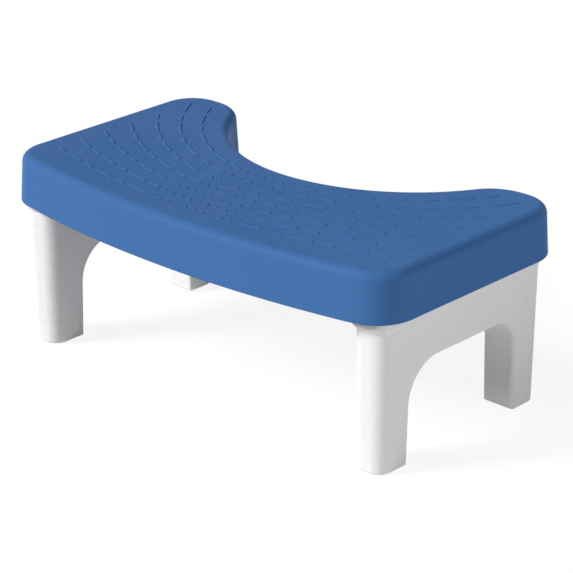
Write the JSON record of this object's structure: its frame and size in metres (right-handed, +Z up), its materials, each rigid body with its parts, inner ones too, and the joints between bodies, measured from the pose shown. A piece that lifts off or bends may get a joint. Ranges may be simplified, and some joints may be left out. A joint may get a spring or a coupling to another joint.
{
  "type": "toilet footstool",
  "caption": "Low footstool whose plastic seat curves in at the back to go round a toilet bowl, on arched plug-in leg panels.",
  "frame": {"origin": "on the floor, under the middle of the seat's bounding box", "axes": "+X along the seat to the right-hand end as seen from the front, +Y to the back, where the cut-out goes round the bowl, +Z up"},
  "size_m": [0.4298, 0.2482, 0.177],
  "materials": {
    "seat": "satin moulded polypropylene, mid blue",
    "leg": "fine-grained moulded polypropylene, white",
    "pad": "soft matt grey rubber"
  },
  "bodies": {
    "root": {"seat_shell": "seat", "left_leg": "leg", "right_leg": "leg", "front_left_pad": "pad", "rear_left_pad": "pad", "front_right_pad": "pad", "rear_right_pad": "pad"}
  },
  "joints": []
}
